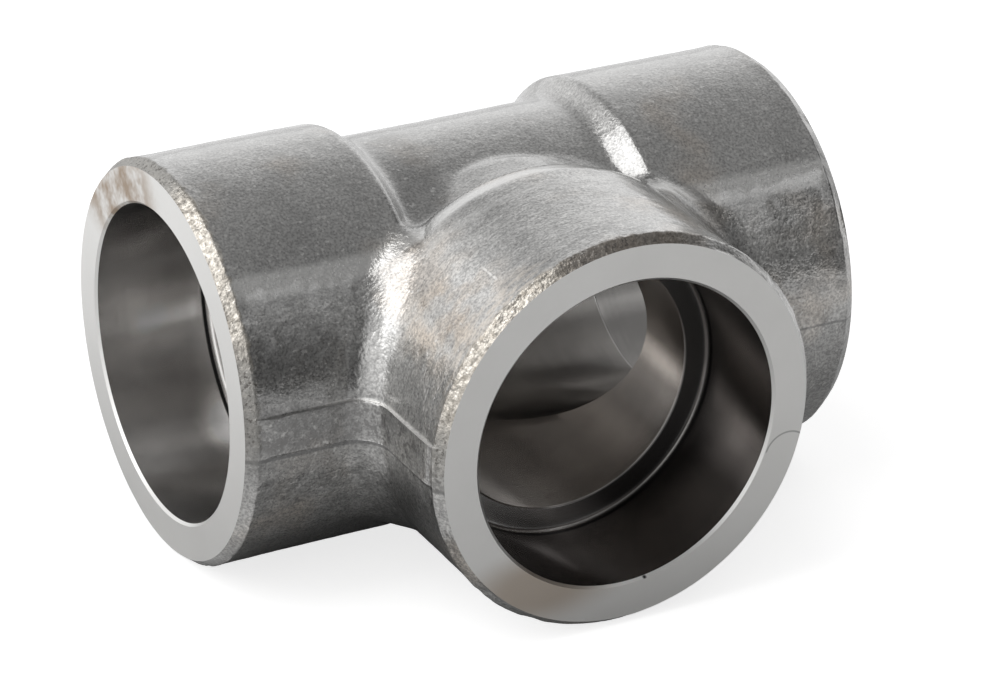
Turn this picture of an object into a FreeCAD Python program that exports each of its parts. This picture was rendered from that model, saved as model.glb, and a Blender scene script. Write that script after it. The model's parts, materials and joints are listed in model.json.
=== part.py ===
import FreeCAD, Part
import math
import os
import Sketcher

# Socket weld tee: one forged steel body with three machined sockets.
# Frame: the run lies along X, the branch points to -Y and Z is up.
# The origin is the point where the axis of the run meets the axis of the branch.

NODE = "tee_body"

# Driving sizes in millimetres.
SIZES = {
    "centre_to_end": "51.2",
    "collar_radius": "31.2",
    "shoulder_foot": "15.2",
    "shoulder_length": "5.4",
    "shoulder_height": "2.9",
    "shoulder_round": "8.0",
    "foot_round": "6.0",
    "branch_neck_slimmer": "0.7",
    "face_radius": "30.0",
    "rim_length": "1.6",
    "crotch_round": "5.0",
    "land_proud": "0.25",
    "land_above": "4.5",
    "land_below": "2.1",
    "socket_radius": "24.35",
    "socket_depth": "19.1",
    "mouth_chamfer": "0.4",
    "bore_radius": "20.5",
}

ORIGIN_POINT = (-1, 1)
START, END = 1, 2

doc = FreeCAD.newDocument("socket_weld_tee")


def fill_sheet():
    """Spreadsheet that holds the driving sizes, each under its own alias."""
    table = doc.addObject("Spreadsheet::Sheet", "Sizes")
    for row, (alias, text) in enumerate(SIZES.items(), start=1):
        table.set(f"A{row}", alias)
        table.set(f"B{row}", text)
        table.setAlias(f"B{row}", alias)
    doc.recompute()
    return table


sheet = fill_sheet()


def span(*aliases):
    """Signed sum of named sizes: its value now, and the expression that keeps it."""
    value = 0.0
    words = ""
    for alias in aliases:
        name = alias.lstrip("-")
        sign = "-" if alias.startswith("-") else "+"
        value += float(sheet.get(name)) * (-1 if sign == "-" else 1)
        words += f"{sign} Sizes.{name} "
    return value, words.lstrip("+ ")


ON_AXIS = (0.0, "")


def origin_item(body, role):
    """One of the body's own origin planes or axes."""
    return next(item for item in body.Origin.OriginFeatures if item.Role == role)


def flat_sketch(body, name):
    """Empty sketch on the plane that holds the run axis and the branch axis."""
    sketch = body.newObject("Sketcher::SketchObject", name)
    sketch.AttachmentSupport = (origin_item(body, "XY_Plane"), "")
    sketch.MapMode = "FlatFace"
    return sketch


def hold_point(sketch, geometry, position, corner):
    """Tie a point of the sketch to the corner's named distances from the origin."""
    for kind, (value, words) in zip(("DistanceX", "DistanceY"), corner):
        rule = Sketcher.Constraint(kind, *ORIGIN_POINT, geometry, position, value)
        index = sketch.addConstraint(rule)
        if words:
            sketch.setExpression(f"Constraints[{index}]", words)


def corner_arc(before, point, after, radius):
    """Arc of the given radius that rounds a corner: its start, its crest and its end."""
    to_before = (before - point).normalize()
    to_after = (after - point).normalize()
    half_angle = to_before.getAngle(to_after) / 2
    reach = radius / math.tan(half_angle)
    bisector = (to_before + to_after).normalize()
    crest = point + bisector * (radius / math.sin(half_angle) - radius)
    return point + to_before * reach, crest, point + to_after * reach


def add_arc(sketch, start, crest, end, radius_words, sides):
    """Arc tangent to the side before it and the side after it."""
    arc = sketch.addGeometry(Part.Arc(start, crest, end), False)
    own_start = sketch.getPoint(arc, START)
    forward = own_start.distanceToPoint(start) < own_start.distanceToPoint(end)
    first, last = (START, END) if forward else (END, START)
    sketch.addConstraint(Sketcher.Constraint("Tangent", sides[0], END, arc, first))
    sketch.addConstraint(Sketcher.Constraint("Tangent", arc, last, sides[1], START))
    index = sketch.addConstraint(Sketcher.Constraint("Radius", arc, sketch.Geometry[arc].Radius))
    sketch.setExpression(f"Constraints[{index}]", radius_words)


def draw_outline(sketch, corners):
    """Closed outline of straight sides. A corner with a radius is rounded by a tangent arc."""
    points = [FreeCAD.Vector(corner[0][0], corner[1][0], 0) for corner in corners]
    count = len(points)
    cuts = []
    for i, corner in enumerate(corners):
        if len(corner) == 3:
            cuts.append(corner_arc(points[i - 1], points[i], points[(i + 1) % count], corner[2][0]))
        else:
            cuts.append((points[i], points[i], points[i]))
    sides = []
    for i in range(count):
        side = Part.LineSegment(cuts[i][2], cuts[(i + 1) % count][0])
        sides.append(sketch.addGeometry(side, False))
    for i, corner in enumerate(corners):
        before, after = sides[i - 1], sides[i]
        if len(corner) == 3:
            add_arc(sketch, *cuts[i], corner[2][1], (before, after))
            mark = sketch.addGeometry(Part.Point(points[i]), True)
            sketch.addConstraint(Sketcher.Constraint("PointOnObject", mark, START, before))
            sketch.addConstraint(Sketcher.Constraint("PointOnObject", mark, START, after))
            hold_point(sketch, mark, START, corner[:2])
        else:
            sketch.addConstraint(Sketcher.Constraint("Coincident", before, END, after, START))
            hold_point(sketch, after, START, corner)


def revolve(body, kind, name, sketch, axis):
    """Full turn of a sketch about one of the body's own axes, added or cut away."""
    feature = body.newObject(f"PartDesign::{kind}", name)
    feature.Profile = sketch
    feature.ReferenceAxis = (origin_item(body, axis), [""])
    feature.Angle = 360
    sketch.Visibility = False
    doc.recompute()
    return feature


def add_run(body):
    """Run of the tee: two full collars and the slimmer neck between them."""
    top = (span("collar_radius"), span("shoulder_round"))
    foot = (span("collar_radius", "-shoulder_height"), span("foot_round"))
    collar, face = span("collar_radius"), span("face_radius")
    corners = [
        (span("-centre_to_end"), ON_AXIS),
        (span("-centre_to_end"), face),
        (span("-centre_to_end", "rim_length"), collar),
        (span("-shoulder_foot", "-shoulder_length"), *top),
        (span("-shoulder_foot"), *foot),
        (span("shoulder_foot"), *foot),
        (span("shoulder_foot", "shoulder_length"), *top),
        (span("centre_to_end", "-rim_length"), collar),
        (span("centre_to_end"), face),
        (span("centre_to_end"), ON_AXIS),
    ]
    sketch = flat_sketch(body, "run_profile")
    draw_outline(sketch, corners)
    revolve(body, "Revolution", "run_forging", sketch, "X_Axis")


def add_branch(body):
    """Branch of the tee: one collar and its neck, joined to the middle of the run."""
    neck = span("collar_radius", "-shoulder_height", "-branch_neck_slimmer")
    corners = [
        (ON_AXIS, span("-centre_to_end")),
        (span("face_radius"), span("-centre_to_end")),
        (span("collar_radius"), span("-centre_to_end", "rim_length")),
        (span("collar_radius"), span("-shoulder_foot", "-shoulder_length"), span("shoulder_round")),
        (neck, span("-shoulder_foot"), span("foot_round")),
        (neck, ON_AXIS),
        (ON_AXIS, ON_AXIS),
    ]
    sketch = flat_sketch(body, "branch_profile")
    draw_outline(sketch, corners)
    revolve(body, "Revolution", "branch_forging", sketch, "Y_Axis")


def belongs_to_run(face):
    """Whether a turned face has its axis along the run."""
    return abs(face.Surface.Axis.x) > abs(face.Surface.Axis.y)


def crotch_edges(shape):
    """Names of the edges where the skin of the run meets the skin of the branch."""
    names = []
    for number, edge in enumerate(shape.Edges, start=1):
        beside = [face for face in shape.Faces if any(side.isSame(edge) for side in face.Edges)]
        if len(beside) == 2 and belongs_to_run(beside[0]) != belongs_to_run(beside[1]):
            names.append(f"Edge{number}")
    return names


def blend_crotch(body):
    """Rolling round along the whole line where the branch grows out of the run."""
    base = body.Tip
    blend = body.newObject("PartDesign::Fillet", "crotch_blend")
    blend.Base = (base, crotch_edges(base.Shape))
    blend.setExpression("Radius", "Sizes.crotch_round")
    doc.recompute()


def add_parting_land(body):
    """Trimmed flash land: a low upright band that follows the outline seen from above."""
    ends = span("-centre_to_end"), span("centre_to_end")
    rims = span("-centre_to_end", "rim_length"), span("centre_to_end", "-rim_length")
    sides = span("-collar_radius", "-land_proud"), span("collar_radius", "land_proud")
    faces = span("-face_radius", "-land_proud"), span("face_radius", "land_proud")
    neck = span("collar_radius", "-shoulder_height", "land_proud")
    crotch = span("crotch_round", "-land_proud")
    top, foot = span("shoulder_round"), span("foot_round")
    corners = [
        (ends[0], faces[1]),
        (rims[0], sides[1]),
        (span("-shoulder_foot", "-shoulder_length"), sides[1], top),
        (span("-shoulder_foot"), neck, foot),
        (span("shoulder_foot"), neck, foot),
        (span("shoulder_foot", "shoulder_length"), sides[1], top),
        (rims[1], sides[1]),
        (ends[1], faces[1]),
        (ends[1], faces[0]),
        (rims[1], sides[0]),
        (sides[1], sides[0], crotch),
        (sides[1], rims[0]),
        (faces[1], ends[0]),
        (faces[0], ends[0]),
        (sides[0], rims[0]),
        (sides[0], sides[0], crotch),
        (rims[0], sides[0]),
        (ends[0], faces[0]),
    ]
    sketch = flat_sketch(body, "parting_outline")
    draw_outline(sketch, corners)
    land = body.newObject("PartDesign::Pad", "parting_land")
    land.Profile = sketch
    land.SideType = "Two sides"
    land.setExpression("Length", "Sizes.land_above")
    land.setExpression("Length2", "Sizes.land_below")
    sketch.Visibility = False
    doc.recompute()


def outward(side, *aliases):
    """Distance from the centre along an end's axis, on the side that its mouth points to."""
    value, words = span(*aliases)
    return side * value, f"{side} * ({words})"


def cut_end(body, end, axis, side):
    """Socket, floor and bore of one end, turned from its mouth to the centre."""
    mouth = span("socket_radius", "mouth_chamfer")
    wall, bore = span("socket_radius"), span("bore_radius")
    floor = outward(side, "centre_to_end", "-socket_depth")
    turned = [
        (outward(side, "centre_to_end"), ON_AXIS),
        (outward(side, "centre_to_end"), mouth),
        (outward(side, "centre_to_end", "-mouth_chamfer"), wall),
        (floor, wall),
        (floor, bore),
        (ON_AXIS, bore),
        (ON_AXIS, ON_AXIS),
    ]
    corners = turned if axis == "X_Axis" else [corner[::-1] for corner in turned]
    sketch = flat_sketch(body, f"{end}_bore_profile")
    draw_outline(sketch, corners)
    groove = revolve(body, "Groove", f"{end}_socket", sketch, axis)
    groove.Refine = False
    doc.recompute()


def cut_ends(body):
    """All three ends."""
    cut_end(body, "left", "X_Axis", -1)
    cut_end(body, "right", "X_Axis", 1)
    cut_end(body, "branch", "Y_Axis", -1)


def build_tee():
    """The whole fitting as one solid. Each step has to add or remove steel as it says."""
    body = doc.addObject("PartDesign::Body", NODE)
    body.Label = NODE
    steps = ((add_run, 1), (add_branch, 1), (blend_crotch, 1), (add_parting_land, 1), (cut_ends, -1))
    volume = 0.0
    for step, sign in steps:
        step(body)
        change = body.Shape.Volume - volume
        volume = body.Shape.Volume
        if change * sign <= 0:
            raise RuntimeError(f"{step.__name__} changed the volume by {change:.1f} mm3")
        print(f"{step.__name__}: {volume:.1f} mm3")
    body.Placement = FreeCAD.Placement()
    return body


def check_document():
    """Stop if any object of the document failed to build."""
    for item in doc.Objects:
        if "Invalid" in item.State or "Error" in item.State:
            raise RuntimeError(f"{item.Name} did not build: {item.State}")


def write_part(body):
    """Write the finished solid to its own file."""
    shape = body.Shape
    if shape.isNull() or not shape.isValid() or len(shape.Solids) != 1:
        raise RuntimeError(f"{body.Label} is not one valid solid")
    os.makedirs("parts", exist_ok=True)
    shape.exportStep(os.path.join("parts", f"{body.Label}.step"))


tee = build_tee()
doc.recompute()
check_document()
write_part(tee)
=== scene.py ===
import json
import math

import bmesh
import bpy
import numpy as np
from mathutils import Matrix, Vector


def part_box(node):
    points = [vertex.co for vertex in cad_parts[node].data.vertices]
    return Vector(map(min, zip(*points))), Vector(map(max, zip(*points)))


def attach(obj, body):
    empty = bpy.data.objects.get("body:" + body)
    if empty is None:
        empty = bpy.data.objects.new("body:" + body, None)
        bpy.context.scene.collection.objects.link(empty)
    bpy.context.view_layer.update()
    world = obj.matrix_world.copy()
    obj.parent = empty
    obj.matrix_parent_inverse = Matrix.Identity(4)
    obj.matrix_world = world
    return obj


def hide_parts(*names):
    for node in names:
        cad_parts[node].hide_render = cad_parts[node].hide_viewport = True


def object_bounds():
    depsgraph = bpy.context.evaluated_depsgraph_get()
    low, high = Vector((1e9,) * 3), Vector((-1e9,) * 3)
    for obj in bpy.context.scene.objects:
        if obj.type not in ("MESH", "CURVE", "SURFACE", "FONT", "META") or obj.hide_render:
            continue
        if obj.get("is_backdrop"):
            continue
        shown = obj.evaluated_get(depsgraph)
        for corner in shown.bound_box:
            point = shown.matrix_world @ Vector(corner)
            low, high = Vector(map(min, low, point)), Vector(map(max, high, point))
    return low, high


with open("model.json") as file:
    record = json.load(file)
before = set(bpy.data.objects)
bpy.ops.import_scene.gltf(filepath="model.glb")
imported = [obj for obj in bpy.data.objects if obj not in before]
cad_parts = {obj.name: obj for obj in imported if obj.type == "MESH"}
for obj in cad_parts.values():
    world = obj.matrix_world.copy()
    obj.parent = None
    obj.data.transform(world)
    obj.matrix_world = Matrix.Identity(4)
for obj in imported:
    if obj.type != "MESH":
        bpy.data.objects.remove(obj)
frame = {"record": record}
cad_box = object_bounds()

MM = 0.001
BODY = "root"
NODE = "tee_body"

# Sizes of the fitting in millimetres, read from the frame where it states them.
mounts = {mount["name"]: mount for mount in frame["record"]["mounts"]}
low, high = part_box(NODE)
CENTRE_TO_END = high.x / MM
COLLAR_RADIUS = -low.z / MM
BORE_RADIUS = mounts["run_bore"]["dims"]["r_mm"]
SOCKET_RADIUS = mounts["branch_socket"]["dims"]["r_mm"]
SOCKET_DEPTH = CENTRE_TO_END - mounts["run_bore"]["dims"]["length_mm"] / 2
MOUTH_CHAMFER = 0.4
FLOOR_ROUND = 0.7
BORE_EDGE = 0.25
SHOULDER_FOOT = 17.9
SHOULDER_LENGTH = 2.9
SHOULDER_ROUND = 1.2
FOOT_ROUND = 3.0
BRANCH_TAPER = 0.26
TAPER_END = 24.3
SHOULDER_HEIGHT = 2.9
BRANCH_SLIMMER = 0.7
RUN_NECK = COLLAR_RADIUS - SHOULDER_HEIGHT
BRANCH_NECK = RUN_NECK - BRANCH_SLIMMER
FACE_RADIUS = 30.0
RIM_LENGTH = 1.6
CROTCH_ROUND = 5.0
CROTCH_GROWTH = 5.0
LAND_PROUD = 0.25
LAND_SUNK = 0.4
LAND_TOP = 4.5
LAND_BOTTOM = -2.1

# Unevenness of the forged skin: mean depth, then pairs of height and wavelength, all in millimetres.
MEAN_SINK = 0.17
BROAD_WAVES = ((0.06, 24.0), (0.014, 7.0))
GRAIN_WAVES = ((0.010, 2.4),)
RIM_WAVES = ((0.04, 1.8), (0.06, 6.0))
SEED = 7

# Mesh density, search along the rays, and weld distance in metres.
ANGLES_PER_QUARTER = 68
SKIN_ROWS = 64
BORE_ROWS = 8
WALL_ROWS = 8
RIM_ROWS = (0.0, 0.2, 0.45, 0.75, 1.05, 1.35, 1.6, 1.85, 2.2, 2.7)
FACE_RING_RADII = (29.3, 28.0, 26.7, 25.4)
FACE_RINGS = 7
RAY_START = 18.0
RAY_END = 40.0
HALVINGS = 26
LEVEL_NEAR = 6.0
LEVEL_FAR = 14.0
WELD = 2e-6
SHARP_ANGLE = 42.0

# Material slots of the mesh.
SKIN_SLOT = 0
FACE_SLOT = 1
RUN_SLOT = 2
BRANCH_SLOT = 3

# Camera, lamp and floor: metres and degrees.
CAMERA_TURN = (-28.2938, 26.2138, 0.8787)
CAMERA_PLACE = (0.67299, 0.005361, -0.007609)
CAMERA_LENS = (36.0, 157.47)
KEY_HEADING = (-96.0, 53.0)
KEY_DISTANCE = 1.1
KEY_SIZE = (0.75, 1.2)
KEY_POWER = 5.2
KEY_TARGET = (0.0, -0.01, 0.0)
FLOOR_HALF = 3.0
PAPER = 0.62
CAMERA_GLOW = 0.76
MIRRORED_GLOW = 0.47


# Shape of the forged skin, as a field that is zero on the surface and negative inside the steel.

def step_up(value, start, end):
    """Smooth rise from 0 at start to 1 at end."""
    share = np.clip((value - start) / (end - start), 0.0, 1.0)
    return share * share * (3.0 - 2.0 * share)


def shoulder_radius(distance, neck):
    """Radius of neck, foot round, slope, shoulder round and collar at a distance from the centre."""
    rise = math.atan2(COLLAR_RADIUS - neck, SHOULDER_LENGTH)
    foot_start = SHOULDER_FOOT - FOOT_ROUND * math.tan(rise / 2)
    foot_end = foot_start + FOOT_ROUND * math.sin(rise)
    top_end = SHOULDER_FOOT + SHOULDER_LENGTH + SHOULDER_ROUND * math.tan(rise / 2)
    top_start = top_end - SHOULDER_ROUND * math.sin(rise)
    foot = neck + FOOT_ROUND - np.sqrt(np.maximum(FOOT_ROUND ** 2 - (distance - foot_start) ** 2, 0.0))
    slope = neck + (distance - SHOULDER_FOOT) * math.tan(rise)
    top = np.sqrt(np.maximum(SHOULDER_ROUND ** 2 - (top_end - distance) ** 2, 0.0))
    top = COLLAR_RADIUS - SHOULDER_ROUND + top
    zones = [distance < foot_start, distance < foot_end, distance < top_start, distance < top_end]
    return np.select(zones, [neck, foot, slope, top], COLLAR_RADIUS)


def run_radius(distance):
    """Radius of the run's outside at a distance from the centre, with the bevel at the end face."""
    return np.minimum(shoulder_radius(distance, RUN_NECK), rim_radius(distance))


def branch_radius(distance):
    """Radius of the branch's outside, with the slight taper behind its collar and the bevel at its face."""
    taper = COLLAR_RADIUS - np.maximum(TAPER_END - distance, 0.0) * BRANCH_TAPER
    return np.minimum(np.minimum(shoulder_radius(distance, BRANCH_NECK), taper), rim_radius(distance))


def rim_radius(distance):
    """Radius of the bevel between collar and end face."""
    return FACE_RADIUS + (CENTRE_TO_END - distance) * (COLLAR_RADIUS - FACE_RADIUS) / RIM_LENGTH


def round_union(a, b, radius):
    """Union of two fields with a concave round where they cross."""
    inner = np.hypot(np.maximum(radius - a, 0.0), np.maximum(radius - b, 0.0))
    return np.maximum(radius, np.minimum(a, b)) - inner


def crotch_radius(height, reach):
    """Strength of the crotch round, which fades as the two skins turn parallel towards the top."""
    rise = np.clip(np.abs(height) / np.maximum(reach, 1.0), 0.0, 1.0)
    fade = (1.0 - np.sqrt((1.0 + rise ** 2) / 2.0)) / (1.0 - math.sqrt(0.5))
    grown = 1.0 + CROTCH_GROWTH * rise ** 3 * (1.0 - rise ** 4)
    return np.maximum(CROTCH_ROUND * grown * fade, 0.25)


def land_height(x, y):
    """How far the parting land stands out. It sinks in at the end faces and on the front's right."""
    from_end = CENTRE_TO_END - np.maximum(np.abs(x), -y)
    share = step_up(from_end, 0.2, 4.0) * (1.0 - step_up(x, 5.0, 25.0) * step_up(-y, -6.0, 6.0))
    return (LAND_PROUD + LAND_SUNK) * share - LAND_SUNK


def skin_field(x, y, z):
    """Field of the whole outside: run, branch, crotch rounds and parting land."""
    run_reach = np.hypot(y, z)
    branch_reach = np.hypot(x, z)
    run = run_reach - run_radius(np.abs(x))
    branch = np.maximum(branch_reach - branch_radius(np.maximum(-y, 0.0)), y)
    body = round_union(run, branch, crotch_radius(z, np.minimum(run_reach, branch_reach)))
    proud = land_height(x, y)
    run_side = np.abs(y) - run_radius(np.abs(x)) - proud
    branch_side = np.maximum(np.abs(x) - branch_radius(np.maximum(-y, 0.0)) - proud, y)
    outline = round_union(run_side, branch_side, CROTCH_ROUND - LAND_PROUD)
    middle, half = (LAND_TOP + LAND_BOTTOM) / 2, (LAND_TOP - LAND_BOTTOM) / 2
    land = np.maximum(outline, np.abs(z - middle) - half)
    return np.minimum(body, land)


def solve_outward(place, angle):
    """Distance along each ray at which the skin field turns from inside to outside."""
    inner, outer = np.full(angle.shape, RAY_START), np.full(angle.shape, RAY_END)
    for _ in range(HALVINGS):
        middle = (inner + outer) / 2
        inside = skin_field(*place(middle, angle)) < 0
        inner = np.where(inside, middle, inner)
        outer = np.where(inside, outer, middle)
    return (inner + outer) / 2


# Angles round an axis. Zero points to the front of the run, or to the left of the branch, and +90 up.

def column_angles():
    """Angles from straight down to straight up, closer together along the edges of the land."""
    reach = COLLAR_RADIUS + LAND_PROUD
    even = np.linspace(-90.0, 90.0, 2 * ANGLES_PER_QUARTER + 1)
    close = []
    for edge in (LAND_BOTTOM, LAND_TOP):
        close += [math.degrees(math.asin((edge + step) / reach)) for step in (-0.25, -0.03, 0.03, 0.25)]
    kept = [angle for angle in even if min(abs(angle - other) for other in close) > 0.3]
    return np.radians(np.sort(np.array(kept + close)))


FRONT = column_angles()
BACK = math.pi - FRONT[::-1]
ROUND = np.concatenate([FRONT, BACK[1:-1]])
IS_FRONT = np.arange(len(ROUND)) < len(FRONT)


def level_angle(angle, reach):
    """Angle that keeps a column at its own height near the land, whatever the radius there."""
    height = (COLLAR_RADIUS + LAND_PROUD) * np.sin(angle)
    hold = step_up(-np.abs(height), -LEVEL_FAR, -LEVEL_NEAR)
    level = np.arcsin(np.clip(height / reach, -1.0, 1.0))
    level = np.where(np.cos(angle) < 0, math.pi - level, level)
    return hold * level + (1.0 - hold) * angle


def solve_columns(place, angle):
    """Skin points along rays, with the columns near the land held at their heights."""
    reach = solve_outward(place, angle)
    for _ in range(2):
        turned = level_angle(angle, reach)
        reach = solve_outward(place, turned)
    return place(reach, turned)


def border_points(side):
    """Line where the grid of the run meets the grid of the branch, and the back of the run's middle."""
    def diagonal(reach, angle):
        across = reach * np.cos(angle)
        return side * across, -across, reach * np.sin(angle)

    def middle(reach, angle):
        return 0.0 * angle, -reach * np.cos(angle), reach * np.sin(angle)

    front = np.stack(solve_columns(diagonal, FRONT), axis=-1)
    back = np.stack(solve_columns(middle, BACK[1:-1]), axis=-1)
    return np.concatenate([front, back])


def skin_rows(reach_to_border):
    """Distances of the rows from the end face, closer together at the rim."""
    share = np.linspace(0.0, 1.0, SKIN_ROWS + 1)[1:]
    length = CENTRE_TO_END - np.abs(reach_to_border)
    far = RIM_ROWS[-1] + share[:, None] * (length[None, :] - RIM_ROWS[-1])
    near = np.repeat(np.array(RIM_ROWS)[:, None], len(length), axis=1)
    return np.concatenate([near, far])


def run_skin(side):
    """Grid of one half of the run, from its end face to the border."""
    border = border_points(side)
    along = side * (CENTRE_TO_END - skin_rows(border[:, 0]))
    angle = np.repeat(ROUND[None, :], len(along), axis=0)

    def place(reach, turned):
        return along, -reach * np.cos(turned), reach * np.sin(turned)

    grid = np.stack(solve_columns(place, angle), axis=-1)
    grid[-1] = border
    return grid


def branch_skin():
    """Grid of the branch, from its end face to the border."""
    left, right = border_points(-1), border_points(1)
    inner = right[: len(FRONT)][::-1]
    border = np.concatenate([left[: len(FRONT)], inner[1:-1]])
    along = skin_rows(border[:, 1]) - CENTRE_TO_END
    angle = np.repeat(ROUND[None, :], len(along), axis=0)

    def place(reach, turned):
        return -reach * np.cos(turned), along, reach * np.sin(turned)

    grid = np.stack(solve_columns(place, angle), axis=-1)
    grid[-1] = border
    return grid


# Turned surfaces: end face, mouth chamfer, socket wall, floor and bore.

def socket_profile():
    """(distance from the face, radius) pairs from inside the face's edge to the start of the bore."""
    pairs = [(0.0, radius) for radius in FACE_RING_RADII]
    pairs += [(0.0, SOCKET_RADIUS + MOUTH_CHAMFER + 0.05), (0.0, SOCKET_RADIUS + MOUTH_CHAMFER)]
    pairs += [(MOUTH_CHAMFER, SOCKET_RADIUS), (MOUTH_CHAMFER + 0.06, SOCKET_RADIUS)]
    last = SOCKET_DEPTH - FLOOR_ROUND
    pairs += [(distance, SOCKET_RADIUS) for distance in np.linspace(MOUTH_CHAMFER + 0.6, last, WALL_ROWS)]
    for turn in np.radians((22.5, 45.0, 67.5, 90.0)):
        inset = FLOOR_ROUND * (1.0 - math.cos(turn))
        pairs.append((last + FLOOR_ROUND * math.sin(turn), SOCKET_RADIUS - inset))
    ledge = np.linspace(SOCKET_RADIUS - 1.2, BORE_RADIUS + BORE_EDGE, 4)
    pairs += [(SOCKET_DEPTH, radius) for radius in ledge]
    pairs.append((SOCKET_DEPTH + BORE_EDGE, BORE_RADIUS))
    return pairs


def turned_grid(outer_row, place_ring, border):
    """Grid of one turned end, from the edge of its face to the border where the bores cross."""
    rows = [outer_row]
    rows += [place_ring(distance, radius) for distance, radius in socket_profile()]
    start = rows[-1]
    for share in np.linspace(0.0, 1.0, BORE_ROWS + 1)[1:]:
        rows.append(start + (border - start) * share)
    return np.stack(rows)


def bore_border(side):
    """Line where the bore of the run crosses the bore of the branch, and the middle of its back."""
    across = BORE_RADIUS * np.cos(ROUND)
    x = np.where(IS_FRONT, side * across, 0.0)
    return np.stack([x, -across, BORE_RADIUS * np.sin(ROUND)], axis=-1)


def run_turned(side, skin):
    """Turned surfaces of one end of the run."""
    def ring(distance, radius):
        x = np.full(len(ROUND), side * (CENTRE_TO_END - distance))
        return np.stack([x, -radius * np.cos(ROUND), radius * np.sin(ROUND)], axis=-1)

    return turned_grid(skin[0], ring, bore_border(side))


def branch_turned(skin):
    """Turned surfaces of the branch."""
    def ring(distance, radius):
        y = np.full(len(ROUND), distance - CENTRE_TO_END)
        return np.stack([-radius * np.cos(ROUND), y, radius * np.sin(ROUND)], axis=-1)

    across = BORE_RADIUS * np.cos(ROUND)
    border = np.stack([-across, -np.abs(across), BORE_RADIUS * np.sin(ROUND)], axis=-1)
    return turned_grid(skin[0], ring, border)


def grid_quads(rows, columns, start):
    """Quads of a grid whose columns close round into a ring."""
    row, column = np.meshgrid(np.arange(rows - 1), np.arange(columns), indexing="ij")
    following = (column + 1) % columns
    here, there = start + row * columns, start + (row + 1) * columns
    corners = [here + column, here + following, there + following, there + column]
    return np.stack(corners, axis=-1).reshape(-1, 4)


def build_mesh():
    """One closed mesh of the whole fitting, in metres, with a material slot for each finish."""
    skins = [run_skin(-1), run_skin(1), branch_skin()]
    turned = [run_turned(-1, skins[0]), run_turned(1, skins[1]), branch_turned(skins[2])]
    points, quads, slots = [], [], []
    start = 0
    wall_slots = (RUN_SLOT, RUN_SLOT, BRANCH_SLOT)
    for grid, wall_slot in [(skin, SKIN_SLOT) for skin in skins] + list(zip(turned, wall_slots)):
        rows, columns = grid.shape[:2]
        faces = grid_quads(rows, columns, start)
        on_face = (np.arange(len(faces)) // columns < FACE_RINGS) & (wall_slot != SKIN_SLOT)
        slot = np.where(on_face, FACE_SLOT, wall_slot)
        points.append(grid.reshape(-1, 3))
        quads.append(faces)
        slots.append(slot)
        start += rows * columns
    mesh = bpy.data.meshes.new("tee")
    mesh.from_pydata((np.concatenate(points) * MM).tolist(), [], np.concatenate(quads).tolist())
    mesh.polygons.foreach_set("material_index", np.concatenate(slots).astype(np.int32))
    work = bmesh.new()
    work.from_mesh(mesh)
    bmesh.ops.remove_doubles(work, verts=work.verts, dist=WELD)
    bmesh.ops.recalc_face_normals(work, faces=work.faces)
    work.to_mesh(mesh)
    work.free()
    return mesh


# Unevenness of the forged skin.

def waves(points, wavelength, seed, count=40):
    """Smooth random field of unit spread at points, with features of about the given size."""
    draw = np.random.default_rng(seed)
    heading = draw.normal(size=(count, 3))
    heading /= np.linalg.norm(heading, axis=1)[:, None]
    turns = 2.0 * math.pi / (wavelength * draw.uniform(0.75, 1.5, count))
    phase = draw.uniform(0.0, 2.0 * math.pi, count)
    total = np.zeros(len(points))
    for i in range(count):
        total += np.sin(points @ heading[i] * turns[i] + phase[i])
    return total * math.sqrt(2.0 / count)


def unevenness(points, pairs, seed):
    """Sum of waves of given heights and wavelengths."""
    return sum(height * waves(points, length, seed + i) for i, (height, length) in enumerate(pairs))


def end_distance(points):
    """Distance of each point from the plane of the end face that it belongs to."""
    return CENTRE_TO_END - np.maximum(np.abs(points[:, 0]), -points[:, 1])


def roughen(mesh):
    """Sink the skin unevenly by fractions of a millimetre, more so along the rims."""
    count = len(mesh.vertices)
    points, normals = np.empty(count * 3), np.empty(count * 3)
    mesh.vertices.foreach_get("co", points)
    mesh.vertices.foreach_get("normal", normals)
    points, normals = points.reshape(-1, 3) / MM, normals.reshape(-1, 3)
    off_face = np.zeros(count, dtype=bool)
    for face in mesh.polygons:
        if face.material_index == SKIN_SLOT:
            off_face[list(face.vertices)] = True
    from_end = end_distance(points)
    broad = unevenness(points, BROAD_WAVES, SEED)
    grain = unevenness(points, GRAIN_WAVES, SEED + 2)
    rim = step_up(from_end, -0.1, 0.3) * (1.0 - step_up(from_end, 1.4, 3.2))
    rim_grain = rim * unevenness(points, RIM_WAVES, SEED + 3)
    sink = step_up(from_end, 0.2, 4.0) * (MEAN_SINK + broad) + step_up(from_end, 0.0, 1.0) * grain
    sink = np.maximum(sink + np.maximum(rim_grain, 0.0), 0.0)
    sink = np.where(off_face, sink, 0.0)
    moved = points - normals * sink[:, None]
    mesh.vertices.foreach_set("co", (moved * MM).ravel())
    mesh.update()


# Node helpers.

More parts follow.
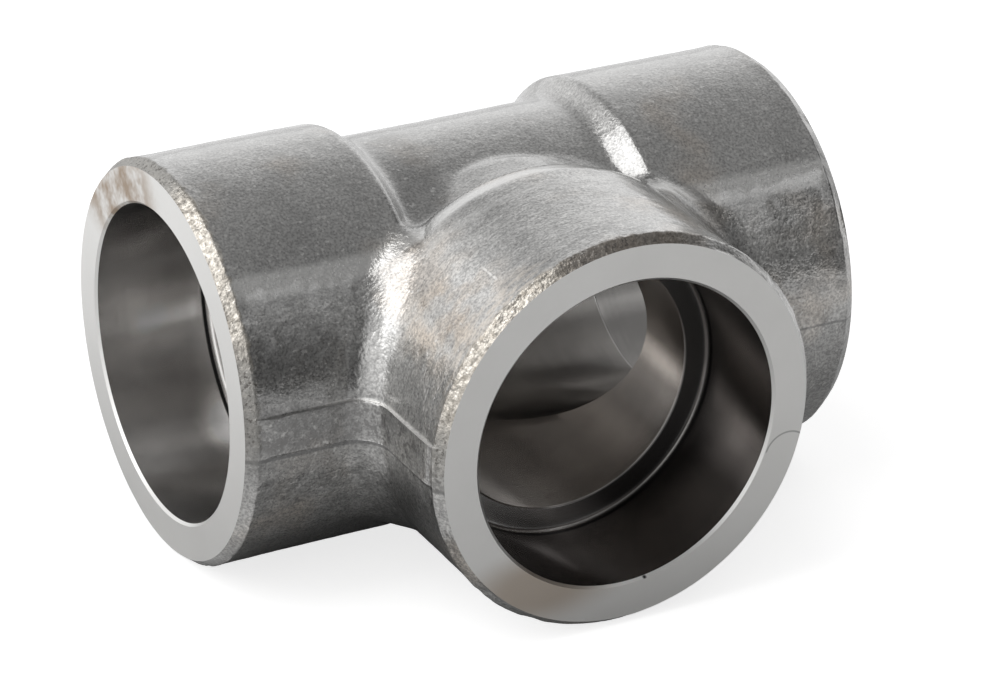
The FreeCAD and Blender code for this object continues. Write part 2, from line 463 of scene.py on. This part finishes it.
class Nodes:
    """Short way to add nodes to a material and to join them."""

    def __init__(self, tree):
        self.tree = tree
        tree.nodes.clear()

    def add(self, kind, **settings):
        """New node, with its settings and the defaults or links of its inputs."""
        node = self.tree.nodes.new(kind)
        inputs = settings.pop("inputs", {})
        for name, value in settings.items():
            setattr(node, name, value)
        for name, value in inputs.items():
            if isinstance(value, bpy.types.NodeSocket):
                self.tree.links.new(value, node.inputs[name])
            else:
                node.inputs[name].default_value = value
        return node

    def math(self, operation, first, second=0.0):
        """Result of one maths step."""
        return self.add("ShaderNodeMath", operation=operation, inputs={0: first, 1: second}).outputs[0]

    def product(self, first, *factors):
        """Product of several values."""
        for factor in factors:
            first = self.math("MULTIPLY", first, factor)
        return first

    def total(self, first, second):
        """Sum of two values."""
        return self.math("ADD", first, second)

    def less(self, first, second):
        """First value less the second."""
        return self.math("SUBTRACT", first, second)

    def vector(self, operation, first, second=(0.0, 0.0, 0.0)):
        """Result of one step on vectors."""
        node = self.add("ShaderNodeVectorMath", operation=operation, inputs={0: first, 1: second})
        return node.outputs["Value" if operation == "LENGTH" else "Vector"]

    def place(self):
        """Place on the object, in metres."""
        return self.add("ShaderNodeTexCoord").outputs["Object"]

    def split(self, where):
        """x, y and z of a place."""
        return self.add("ShaderNodeSeparateXYZ", inputs={0: where}).outputs

    def ramp(self, value, low_end, high_end, low_value=0.0, high_value=1.0):
        """Smooth change of a value from one level to another."""
        inputs = {"Value": value, "From Min": low_end, "From Max": high_end}
        inputs.update({"To Min": low_value, "To Max": high_value})
        node = self.add("ShaderNodeMapRange", interpolation_type="SMOOTHSTEP", inputs=inputs)
        return node.outputs["Result"]

    def noise(self, where, size, detail=2.0, roughness=0.5, stretch=None):
        """Noise whose features measure about the given number of millimetres."""
        if stretch:
            where = self.vector("MULTIPLY", where, stretch)
        inputs = {"Vector": where, "Scale": 1.0 / (size * MM), "Detail": detail, "Roughness": roughness}
        return self.add("ShaderNodeTexNoise", inputs=inputs).outputs["Fac"]

    def mix(self, factor, first, second, blend="MIX"):
        """Mix of two colours."""
        node = self.add("ShaderNodeMix", data_type="RGBA", blend_type=blend)
        for index, value in ((0, factor), (6, first), (7, second)):
            if isinstance(value, bpy.types.NodeSocket):
                self.tree.links.new(value, node.inputs[index])
            else:
                node.inputs[index].default_value = value if index == 0 else (*value, 1.0)
        return node.outputs[2]

    def grey(self, value):
        """Grey colour of a value."""
        inputs = {"Red": value, "Green": value, "Blue": value}
        return self.add("ShaderNodeCombineColor", inputs=inputs).outputs[0]

    def toned(self, colour, tone):
        """Colour made lighter or darker by a tone around 1."""
        return self.mix(1.0, colour, self.grey(tone), "MULTIPLY")

    def shift(self, where, centre, size):
        """Distance from a place in millimetres, measured in the given sizes along x, y and z."""
        away = self.vector("SUBTRACT", where, tuple(value * MM for value in centre))
        away = self.vector("MULTIPLY", away, tuple(1.0 / (value * MM) for value in size))
        return self.vector("LENGTH", away)

    def spot(self, where, centre, size, core=0.3):
        """1 inside a small ellipsoid at a place on the fitting, and 0 outside it."""
        return self.ramp(self.shift(where, centre, size), 1.0, core)

    def with_painted_light(self, tone, where, painted_spots):
        """Tone made lighter or darker by soft areas of painted light and shade, each of given centre, reach
        and change.
        """
        for centre, reach, change in painted_spots:
            here = self.product(self.spot(where, centre, reach, 0.05), change)
            tone = self.product(tone, self.total(1.0, here))
        return tone

    def from_end(self, where):
        """Distance from the plane of the end face, in millimetres."""
        x, y, _ = self.split(where)
        reach = self.math("MAXIMUM", self.math("ABSOLUTE", x), self.product(y, -1.0))
        return self.less(CENTRE_TO_END, self.math("DIVIDE", reach, MM))

    def line(self, value, at, width):
        """1 where a value is at a level, fading to 0 half a width away."""
        away = self.math("ABSOLUTE", self.less(value, at))
        return self.ramp(away, width / 2, width / 6)

    def bump(self, height, distance, normal=None):
        """Bump of a height field, in millimetres."""
        inputs = {"Height": height, "Distance": distance * MM, "Strength": 1.0}
        if normal is not None:
            inputs["Normal"] = normal
        return self.add("ShaderNodeBump", inputs=inputs).outputs["Normal"]

    def metal(self, colour, roughness, **extra):
        """Bare metal, joined to the output."""
        inputs = {"Base Color": colour, "Roughness": roughness, "Metallic": 1.0}
        inputs.update({name.replace("_", " "): value for name, value in extra.items()})
        self.finish(self.add("ShaderNodeBsdfPrincipled", inputs=inputs))

    def finish(self, shader):
        """Join the shader to the output."""
        self.add("ShaderNodeOutputMaterial", inputs={"Surface": shader.outputs[0]})


def new_material(name):
    """Empty node material and its helper."""
    material = bpy.data.materials.new(name)
    material.use_nodes = True
    return material, Nodes(material.node_tree)


# Painted light and shade on the finishes: soft lighter and darker areas where light and shade fall, each
# with centre and reach in millimetres, and change of tone.

# Painted light and shade on the skin: a painted reflection band on the right collar, painted shade below
# it, and lighter and darker areas on the left collar and the branch.
SKIN_PAINTED_LIGHT = [
    ((41.0, -28.0, 13.5), (18.0, 9.0, 9.0), 0.55),
    ((43.0, -23.5, 20.8), (18.0, 8.0, 6.0), -0.25),
    ((49.0, -30.0, -10.0), (14.0, 14.0, 14.0), -0.35),
    ((-40.0, -27.0, 18.0), (22.0, 16.0, 13.0), -0.22),
    ((-37.0, -30.0, 1.0), (22.0, 12.0, 7.0), -0.15),
    ((-37.0, -28.5, -13.0), (24.0, 14.0, 11.0), 0.50),
    ((-28.0, -43.0, -11.0), (12.0, 16.0, 15.0), 0.62),
    ((-25.0, -39.0, 19.0), (9.0, 16.0, 10.0), -0.12),
    ((-17.0, -37.0, 26.0), (10.0, 13.0, 11.0), 0.26),
    ((-31.0, -38.0, 2.0), (10.0, 12.0, 9.0), 0.25),
    ((-36.0, -19.0, 25.0), (20.0, 12.0, 10.0), -0.18),
]
# Painted light and shade inside the run: a painted reflection band and a painted highlight low in the left
# socket, darker at its top, and darker towards the right end.
RUN_PAINTED_LIGHT = [
    ((-40.0, 23.0, -4.5), (14.0, 14.0, 7.0), 1.1),
    ((-44.0, 16.0, 18.0), (22.0, 22.0, 20.0), -0.55),
    ((-34.0, 14.0, -20.0), (6.0, 8.0, 7.0), 1.6),
    ((48.0, 10.0, 14.0), (30.0, 50.0, 45.0), -0.25),
]
# Painted shade in the branch socket and bore, to the right below the middle, and painted reflection stripes
# on their walls.
BRANCH_PAINTED_LIGHT = [
    ((19.0, -36.0, -14.0), (14.0, 10.0, 16.0), -0.85),
    ((22.5, -44.5, -8.0), (6.0, 9.0, 3.6), 0.35),
    ((20.0, -47.0, -15.0), (10.0, 9.0, 8.0), -0.45),
    ((19.0, -24.0, -11.0), (8.0, 16.0, 8.0), -0.45),
    ((20.0, -24.0, -3.4), (8.0, 20.0, 3.4), 0.7),
]
# Scratches on the branch collar and rust spots on the branch face, which the steel itself has.
SCRATCHES = [(-17.8, -39.5, 25.6), (-17.8, -41.0, 25.6), (-17.8, -42.6, 25.6)]
RUST_SPOTS = [((15.9, -51.2, 26.3), (1.5, 1.0, 0.5)), ((18.5, -51.2, 25.2), (0.7, 1.0, 0.4))]


# Finish of the forged skin.

def skin_steel(n, place):
    """Grey steel with warm patches."""
    warm = n.ramp(n.noise(place, 16.0, 3.0), 0.52, 0.70, 0.0, 0.5)
    near_crotch = n.spot(place, (-23.5, -40.0, 20.0), (13.0, 13.0, 13.0))
    patchy = n.ramp(n.noise(place, 5.0, 2.0), 0.35, 0.65)
    warm = n.math("MAXIMUM", warm, n.product(near_crotch, patchy))
    return n.mix(warm, (0.440, 0.435, 0.425), (0.50, 0.43, 0.36))


def skin_tone(n, place, x, grain, branch_streaks):
    """Mottling, grain and streaks of the skin, with painted shade in the hollow of the neck, a darker front
    of the left collar, and soft areas of painted light and shade.
    """
    mottling = n.ramp(n.noise(place, 6.0, 4.0, 0.6), 0.3, 0.7, 0.88, 1.08)
    fine = n.ramp(grain, 0.3, 0.7, 0.72, 1.28)
    drawn = n.ramp(branch_streaks, 0.3, 0.65, 0.90, 1.20)
    # Painted shade: darker across the neck's hollow next to the left shoulder.
    valley_painted_shade = n.less(1.0, n.product(n.line(x, -14.0, 12.0), 0.28))
    # Darker front of the left collar round the land, by up to a third.
    left_front_darkening = n.spot(place, (-43.0, -30.0, 4.0), (15.0, 12.0, 17.0), 0.5)
    tone = n.product(mottling, fine, drawn, valley_painted_shade, n.less(1.0, n.product(left_front_darkening, 0.34)))
    return n.with_painted_light(tone, place, SKIN_PAINTED_LIGHT)


def add_specks(n, colour, place, coarse):
    """Bright flecks, dark pits, and the rougher top of the neck."""
    flecks = n.ramp(coarse, 0.60, 0.72)
    colour = n.mix(n.product(flecks, 0.5), colour, (0.80, 0.79, 0.77))
    pits = n.ramp(n.noise(place, 1.5, 2.0), 0.33, 0.25)
    colour = n.mix(n.product(pits, 0.55), colour, (0.17, 0.165, 0.16))
    neck_top = n.spot(place, (3.0, -2.0, 28.0), (16.0, 7.0, 5.0), 0.4)
    crumbs = n.ramp(n.noise(place, 0.9, 3.0, 0.6), 0.42, 0.34)
    return n.mix(n.product(neck_top, crumbs, 0.6), colour, (0.16, 0.155, 0.15))


def add_land_marks(n, colour, place, x, z):
    """Soot on the parting land, a painted highlight along its upper edge and a painted shadow along its
    lower edge, and the thin seam on the right.
    """
    left = n.ramp(x, 2.0, -2.0)
    on_land = n.product(n.line(z, (LAND_TOP + LAND_BOTTOM) / 2, 9.0), n.ramp(x, 10.0, -10.0))
    soot = n.ramp(n.noise(place, 1.1, 2.0, 0.6), 0.52, 0.38)
    colour = n.mix(n.product(on_land, soot, 0.85), colour, (0.19, 0.185, 0.18))
    # Painted highlight along the land's upper edge, strongest towards the crotch.
    painted_edge_highlight = n.product(n.line(z, LAND_TOP, 0.5), left, n.ramp(x, -44.0, -32.0, 0.05, 0.6))
    colour = n.mix(painted_edge_highlight, colour, (0.9, 0.89, 0.87))
    # Painted shadow along the land's lower edge.
    painted_edge_shadow = n.product(n.line(z, LAND_BOTTOM - 0.3, 1.0), left)
    colour = n.mix(n.product(painted_edge_shadow, 0.7), colour, (0.12, 0.12, 0.12))
    right_seam = n.product(n.line(z, -0.8, 0.6), n.ramp(x, 28.0, 32.0))
    return n.mix(n.product(right_seam, 0.6), colour, (0.12, 0.12, 0.12))


def add_branch_marks(n, colour, place, axes, streaks, on_branch):
    """Scratches, painted highlights along and just beyond the shoulder, and pale drawn steel near the rim
    of the branch collar.
    """
    x, y, z = axes
    for centre in SCRATCHES:
        scratch = n.spot(place, centre, (0.3, 1.2, 0.5), 0.6)
        colour = n.mix(n.product(scratch, 0.7), colour, (1.0, 0.98, 0.95))
    # Painted highlight: a bright band along the edge of the branch collar at its shoulder, on its upper
    # part.
    shoulder = n.product(n.line(y, -22.7, 3.8), n.ramp(z, 4.0, 16.0))
    colour = n.mix(n.product(shoulder, 0.62), colour, (0.72, 0.715, 0.70))
    # Painted highlight: a faint second bright line beyond it, near the top.
    behind = n.line(n.total(y, n.product(z, 0.25)), -20.6, 2.4)
    faint = n.product(behind, n.ramp(z, 18.0, 26.0))
    colour = n.mix(n.product(faint, 0.28), colour, (0.72, 0.715, 0.70))
    near_rim = n.product(n.ramp(n.from_end(place), 9.0, 2.0), n.line(x, -21.0, 24.0), on_branch)
    near_rim = n.product(near_rim, n.ramp(z, -4.0, 8.0), n.ramp(streaks, 0.42, 0.62))
    return n.mix(n.product(near_rim, 0.6), colour, (0.68, 0.60, 0.51))


def rim_mask(n, place, x, z):
    """Ragged band along the rims, down to the lower left."""
    ragged = n.total(n.from_end(place), n.product(n.noise(place, 1.6, 3.0, 0.6), 2.4))
    return n.product(n.ramp(ragged, 3.5, 2.7), n.ramp(x, 14.0, 6.0), n.ramp(z, -6.0, 4.0))


def add_rim_wear(n, colour, place, axes, rim):
    """Worn rims, partly painted light: bright crumbs and dark chips, with lighter rim colour and brighter
    crumbs on the upper front left, where the light falls, as a painted highlight, and the chips strongest
    away from it.
    """
    x, y, z = axes
    # Painted highlight: the upper front left part of the rims, where the light falls.
    slope = n.less(z, n.product(y, 0.25))
    painted_lit_side = n.product(n.ramp(slope, 17.0, 23.0), n.ramp(x, -9.0, -15.0), n.ramp(y, -3.0, -9.0))
    rim_colour = n.mix(n.ramp(x, -18.0, -12.0), (0.34, 0.33, 0.31), (0.16, 0.135, 0.11))
    rim_colour = n.mix(painted_lit_side, rim_colour, (0.38, 0.345, 0.295))
    colour = n.mix(n.product(rim, 0.75), colour, rim_colour)
    worn = n.product(rim, n.ramp(n.noise(place, 0.8, 3.0, 0.7), 0.38, 0.74))
    # The crumbs are wear; their extra brightness on the lit side is a painted highlight.
    crumbs = n.product(worn, n.total(0.15, n.product(painted_lit_side, 0.8)))
    colour = n.mix(crumbs, colour, (0.95, 0.90, 0.82))
    # The chips are wear, made fainter on the lit side.
    chips = n.product(rim, n.ramp(n.noise(place, 0.6, 2.0, 0.6), 0.44, 0.34))
    return n.mix(n.product(chips, n.ramp(painted_lit_side, 0.0, 1.0, 0.85, 0.45)), colour, (0.13, 0.12, 0.11))


def skin_material():
    """Blasted forging skin: grey steel with a fine grain, faint mottling, warm patches and worn rims, with
    painted light and shade: lighter and darker areas, bright and dark lines along the land, and bright
    lines at the branch shoulder.
    """
    material, n = new_material("forged_skin")
    place = n.place()
    axes = [n.math("DIVIDE", part, MM) for part in n.split(place)]
    x, y, z = axes
    on_branch = n.ramp(y, -22.0, -26.0)
    rim = rim_mask(n, place, x, z)
    grain = n.noise(place, 0.38, 1.0, 0.5)
    coarse = n.noise(place, 0.9, 2.0, 0.6)
    streaks = n.noise(place, 0.7, 2.0, 0.6, (0.3, 1.0, 0.3))
    branch_streaks = n.product(streaks, on_branch)
    colour = n.toned(skin_steel(n, place), skin_tone(n, place, x, grain, branch_streaks))
    colour = add_specks(n, colour, place, coarse)
    colour = add_land_marks(n, colour, place, x, z)
    colour = add_branch_marks(n, colour, place, axes, streaks, on_branch)
    colour = add_rim_wear(n, colour, place, axes, rim)
    roughness = n.total(n.total(0.25, n.product(rim, 0.14)), n.product(grain, 0.08))
    soft = n.bump(n.noise(place, 4.0, 2.0), 0.010)
    normal = n.bump(branch_streaks, 0.08, soft)
    normal = n.bump(coarse, 0.11, normal)
    normal = n.bump(grain, 0.045, normal)
    normal = n.bump(n.product(n.noise(place, 0.9, 2.0, 0.6), rim), 0.16, normal)
    coat = n.less(0.9, n.product(rim, 0.8))
    n.metal(colour, roughness, Normal=normal, Coat_Weight=coat, Coat_Roughness=0.10,
            Coat_IOR=2.1, Coat_Normal=soft)
    return material


# Finish of the turned faces and sockets.

def face_material():
    """Turned end face: pale steel with brown stains, a few specks and one thin seam."""
    material, n = new_material("turned_face")
    place = n.place()
    z = n.split(place)[2]
    colour = n.mix(n.noise(place, 8.0, 3.0), (0.75, 0.745, 0.73), (0.81, 0.805, 0.79))
    blotch = n.ramp(n.noise(place, 4.0, 3.0, 0.6), 0.28, 0.66)
    stain = n.product(n.spot(place, (-51.2, 16.0, 23.5), (3.0, 19.0, 13.0), 0.5), blotch)
    colour = n.mix(stain, colour, (0.36, 0.28, 0.21))
    tan = n.spot(place, (-14.0, -51.2, -21.5), (17.0, 3.0, 8.0))
    colour = n.mix(tan, colour, (0.52, 0.46, 0.40))
    for centre, size in RUST_SPOTS:
        colour = n.mix(n.spot(place, centre, size), colour, (0.34, 0.20, 0.11))
    speck = n.spot(place, (3.5, -51.2, -24.3), (0.45, 1.0, 0.35))
    colour = n.mix(speck, colour, (0.03, 0.03, 0.03))
    bow = n.line(n.shift(place, (27.2, -51.2, -9.4), (1.0, 1.0, 1.0)), 3.8, 0.4)
    bow = n.product(bow, n.ramp(n.math("DIVIDE", z, MM), -8.5, -8.0))
    colour = n.mix(n.product(bow, 0.5), colour, (0.12, 0.12, 0.12))
    grain = n.noise(place, 0.45, 2.0)
    n.metal(colour, n.total(0.34, n.product(grain, 0.1)), Normal=n.bump(grain, 0.010))
    return material


def socket_colour(n, place, axis, bore, socket, painted_glint, painted_spots):
    """Steel of a socket and its bore, with a dark ledge between them and bright corners, as painted light
    and shade: a painted shadow ring before the ledge, the ledge painted lit at the lower left, and painted
    highlights at the corners.
    """
    x, _, z = n.split(place)
    depth = n.less(n.from_end(place), SOCKET_DEPTH)
    colour = n.mix(n.ramp(depth, 0.1, 0.3), socket, bore)
    rings = n.noise(place, 0.8, 2.0, 0.5, tuple(1.0 if value else 0.05 for value in axis))
    cloudy = n.ramp(n.noise(place, 11.0, 3.0), 0.3, 0.7, 0.85, 1.1)
    tone = n.product(n.ramp(rings, 0.3, 0.7, 0.97, 1.03), cloudy)
    colour = n.toned(colour, n.with_painted_light(tone, place, painted_spots))
    # Painted shadow: a dark ring on the socket wall just before the ledge.
    colour = n.mix(n.line(depth, -1.2, 1.0), colour, (0.03, 0.03, 0.03))
    # Painted light and shade on the ledge: lit at the lower left and dark elsewhere.
    painted_lit_lower_left = n.ramp(n.math("DIVIDE", n.total(x, z), MM), -12.0, -26.0)
    ledge = n.mix(painted_lit_lower_left, (0.10, 0.098, 0.095), (0.50, 0.49, 0.48))
    colour = n.mix(n.line(depth, 0.0, 0.2), colour, ledge)
    # Painted highlights: a bright line next to the ledge's outer corner, strongest at the lower left, and a
    # bright line on the bore's edge.
    painted_corner_highlight = n.product(n.line(depth, -0.4, 0.5), n.total(0.4, n.product(painted_lit_lower_left, 0.6)))
    painted_bore_edge_highlight = n.product(n.line(depth, 0.25, 0.40), painted_glint)
    corner = n.math("MAXIMUM", painted_corner_highlight, painted_bore_edge_highlight)
    return n.mix(corner, colour, (0.95, 0.94, 0.92))


def socket_material(name, axis, bore, socket, painted_glint, painted_spots):
    """Turned inside: smooth steel whose reflections draw out along the axis."""
    material, n = new_material(name)
    place = n.place()
    colour = socket_colour(n, place, axis, bore, socket, painted_glint, painted_spots)
    normal = n.add("ShaderNodeNewGeometry").outputs["Normal"]
    around = n.vector("CROSS_PRODUCT", axis, place)
    draw = n.vector("CROSS_PRODUCT", around, normal)
    n.metal(colour, 0.25, Anisotropic=0.95, Tangent=draw)
    return material


def run_wall_material():
    """Inside of the run."""
    # The 1.0 is the full strength of the painted highlight on the bore's edge.
    return socket_material("turned_run", (1.0, 0.0, 0.0), (0.58, 0.56, 0.54), (0.57, 0.555, 0.54),
                           1.0, RUN_PAINTED_LIGHT)


def branch_wall_material():
    """Inside of the branch, darker in its socket: the socket's colour is painted shade, far darker than the
    run's same steel, and its bore edge gets only a weak painted highlight.
    """
    # Painted shade: socket colour 0.175 against the run's 0.57 for the same steel; 0.15 is a weak painted
    # highlight on the bore's edge.
    return socket_material("turned_branch", (0.0, 1.0, 0.0), (0.46, 0.43, 0.405), (0.175, 0.16, 0.152),
                           0.15, BRANCH_PAINTED_LIGHT)


def add_tee():
    """The fitting itself, in place of the plain solid."""
    mesh = build_mesh()
    roughen(mesh)
    mesh.shade_smooth()
    mesh.set_sharp_from_angle(angle=math.radians(SHARP_ANGLE))
    for material in (skin_material(), face_material(), run_wall_material(), branch_wall_material()):
        mesh.materials.append(material)
    tee = bpy.data.objects.new("tee", mesh)
    bpy.context.scene.collection.objects.link(tee)
    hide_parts(NODE)
    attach(tee, BODY)


# Surroundings. Azimuth 0 is in front of the branch, and 90 degrees on the right end's side.

def heading_vector(azimuth, elevation):
    """Unit vector towards an azimuth and elevation given in radians."""
    level = math.cos(elevation)
    return Vector((math.sin(azimuth) * level, -math.cos(azimuth) * level, math.sin(elevation)))


def add_key_lamp():
    """Soft square lamp that lights the crotch on the left of the branch."""
    lamp = bpy.data.lights.new("key", "AREA")
    lamp.shape = "RECTANGLE"
    lamp.size, lamp.size_y = KEY_SIZE
    lamp.energy = KEY_POWER
    holder = bpy.data.objects.new("key", lamp)
    bpy.context.scene.collection.objects.link(holder)
    azimuth, elevation = (math.radians(value) for value in KEY_HEADING)
    holder.location = heading_vector(azimuth, elevation) * KEY_DISTANCE
    away = holder.location - Vector(KEY_TARGET)
    holder.rotation_euler = away.to_track_quat("Z", "Y").to_euler()


def mirrored_floor(n, place):
    """How bright the floor looks in mirrored rays: darker near the fitting, a painted shadow, and darker in
    front of it and on the right.
    """
    x, y, _ = n.split(place)
    # Painted shadow: the mirrored glow fades out near the fitting.
    shade = n.ramp(n.vector("LENGTH", place), 0.045, 0.17)
    return n.product(shade, n.ramp(y, -0.06, 0.05, 0.35, 1.0), n.ramp(x, 0.05, 0.12, 1.0, 0.7))


def floor_material():
    """Pale paper that looks white to the camera and keeps the shadow of the fitting; in mirrored rays it
    carries a painted shadow under and near the fitting.
    """
    material, n = new_material("floor_paper")
    place = n.place()
    x, y, _ = n.split(place)
    rays = n.add("ShaderNodeLightPath").outputs
    mirrored = n.math("MAXIMUM", rays["Is Glossy Ray"], rays["Is Transmission Ray"])
    # Painted shadow: in mirrored rays the paper under the fitting is darker.
    under = n.product(n.ramp(n.math("ABSOLUTE", x), 0.052, 0.046), n.ramp(y, -0.052, -0.046, 0.0, 0.6))
    paper = n.product(n.less(1.0, n.product(mirrored, under)), PAPER)
    diffuse = n.add("ShaderNodeBsdfDiffuse", inputs={"Color": n.grey(paper)})
    seen_glow = n.product(rays["Is Camera Ray"], CAMERA_GLOW)
    mirrored_glow = n.product(mirrored, mirrored_floor(n, place), MIRRORED_GLOW)
    glow = n.total(seen_glow, mirrored_glow)
    light = n.add("ShaderNodeEmission", inputs={"Color": (1, 1, 1, 1), "Strength": glow})
    n.finish(n.add("ShaderNodeAddShader", inputs={0: diffuse.outputs[0], 1: light.outputs[0]}))
    return material


def add_floor():
    """Floor under the fitting."""
    half, z = FLOOR_HALF, low.z
    mesh = bpy.data.meshes.new("floor")
    corners = [(-half, -half, z), (half, -half, z), (half, half, z), (-half, half, z)]
    mesh.from_pydata(corners, [], [(0, 1, 2, 3)])
    mesh.materials.append(floor_material())
    floor = bpy.data.objects.new("floor", mesh)
    bpy.context.scene.collection.objects.link(floor)
    floor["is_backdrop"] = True


def wall_level(n, azimuth, rise):
    """Brightness of the white walls on the left and behind, which fades upwards."""
    wall = n.ramp(rise, 10.0, 58.0, 1.05, 0.38)
    lifted = n.ramp(rise, 20.0, 62.0, 1.10, 0.40)
    lift = n.product(n.ramp(azimuth, -180.0, -162.0), n.ramp(azimuth, 60.0, 40.0))
    return n.total(wall, n.product(lift, n.less(lifted, wall)))


def front_level(n, azimuth, rise):
    """Brightness of the darker room in front, with one slanted bright panel on the right."""
    room = n.total(n.ramp(rise, 46.0, 52.0, 0.0, 0.22), n.ramp(rise, 0.0, 22.0, 0.06, 0.13))
    slant = n.total(18.0, n.product(n.less(azimuth, 24.0), 1.36))
    above = n.less(rise, n.math("MINIMUM", slant, 40.0))
    panel = n.product(n.ramp(above, 0.0, 3.0), n.ramp(rise, 48.0, 46.0), n.ramp(azimuth, 0.0, 12.0))
    panel = n.product(panel, n.ramp(azimuth, 75.0, 62.0), n.ramp(azimuth, 26.0, 45.0, 0.22, 1.2))
    return n.total(room, panel)


def set_world():
    """White backdrop for the camera, and a plain studio for everything else."""
    world = bpy.data.worlds.new("studio")
    bpy.context.scene.world = world
    world.use_nodes = True
    n = Nodes(world.node_tree)
    x, y, z = n.split(n.add("ShaderNodeTexCoord").outputs["Generated"])
    azimuth = n.math("DEGREES", n.math("ARCTAN2", x, n.product(y, -1.0)))
    rise = n.math("DEGREES", n.math("ARCSINE", z))
    left, right_back = n.ramp(azimuth, -12.0, -45.0), n.ramp(azimuth, 85.0, 130.0)
    bright = n.math("MAXIMUM", left, right_back)
    walls = n.product(bright, wall_level(n, azimuth, rise))
    front = n.product(n.less(1.0, bright), front_level(n, azimuth, rise))
    strength = n.add("ShaderNodeMix", data_type="FLOAT")
    n.tree.links.new(n.add("ShaderNodeLightPath").outputs["Is Camera Ray"], strength.inputs[0])
    n.tree.links.new(n.total(walls, front), strength.inputs[2])
    strength.inputs[3].default_value = 1.0
    inputs = {"Color": (1, 1, 1, 1), "Strength": strength.outputs[0]}
    background = n.add("ShaderNodeBackground", inputs=inputs)
    n.add("ShaderNodeOutputWorld", inputs={"Surface": background.outputs[0]})


def add_camera():
    """Camera at the photograph's viewpoint."""
    azimuth, elevation, roll = (math.radians(value) for value in CAMERA_TURN)
    back = heading_vector(azimuth, elevation)
    level_right = Vector((math.cos(azimuth), math.sin(azimuth), 0.0))
    level_up = back.cross(level_right)
    right = math.cos(roll) * level_right + math.sin(roll) * level_up
    up = -math.sin(roll) * level_right + math.cos(roll) * level_up
    data = bpy.data.cameras.new("camera")
    data.sensor_width, data.lens = CAMERA_LENS
    holder = bpy.data.objects.new("camera", data)
    bpy.context.scene.collection.objects.link(holder)
    along_back, along_right, along_up = CAMERA_PLACE
    spot = along_back * back + along_right * right + along_up * up
    turn = Matrix((right, up, back)).transposed().to_4x4()
    holder.matrix_world = Matrix.Translation(spot) @ turn
    bpy.context.scene.camera = holder


add_tee()
add_floor()
set_world()
add_key_lamp()
add_camera()
bpy.context.scene.view_settings.view_transform = "Standard"

dressed_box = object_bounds()
{name: [list(corner) for corner in box] for name, box in (("cad", cad_box), ("visual", dressed_box))}
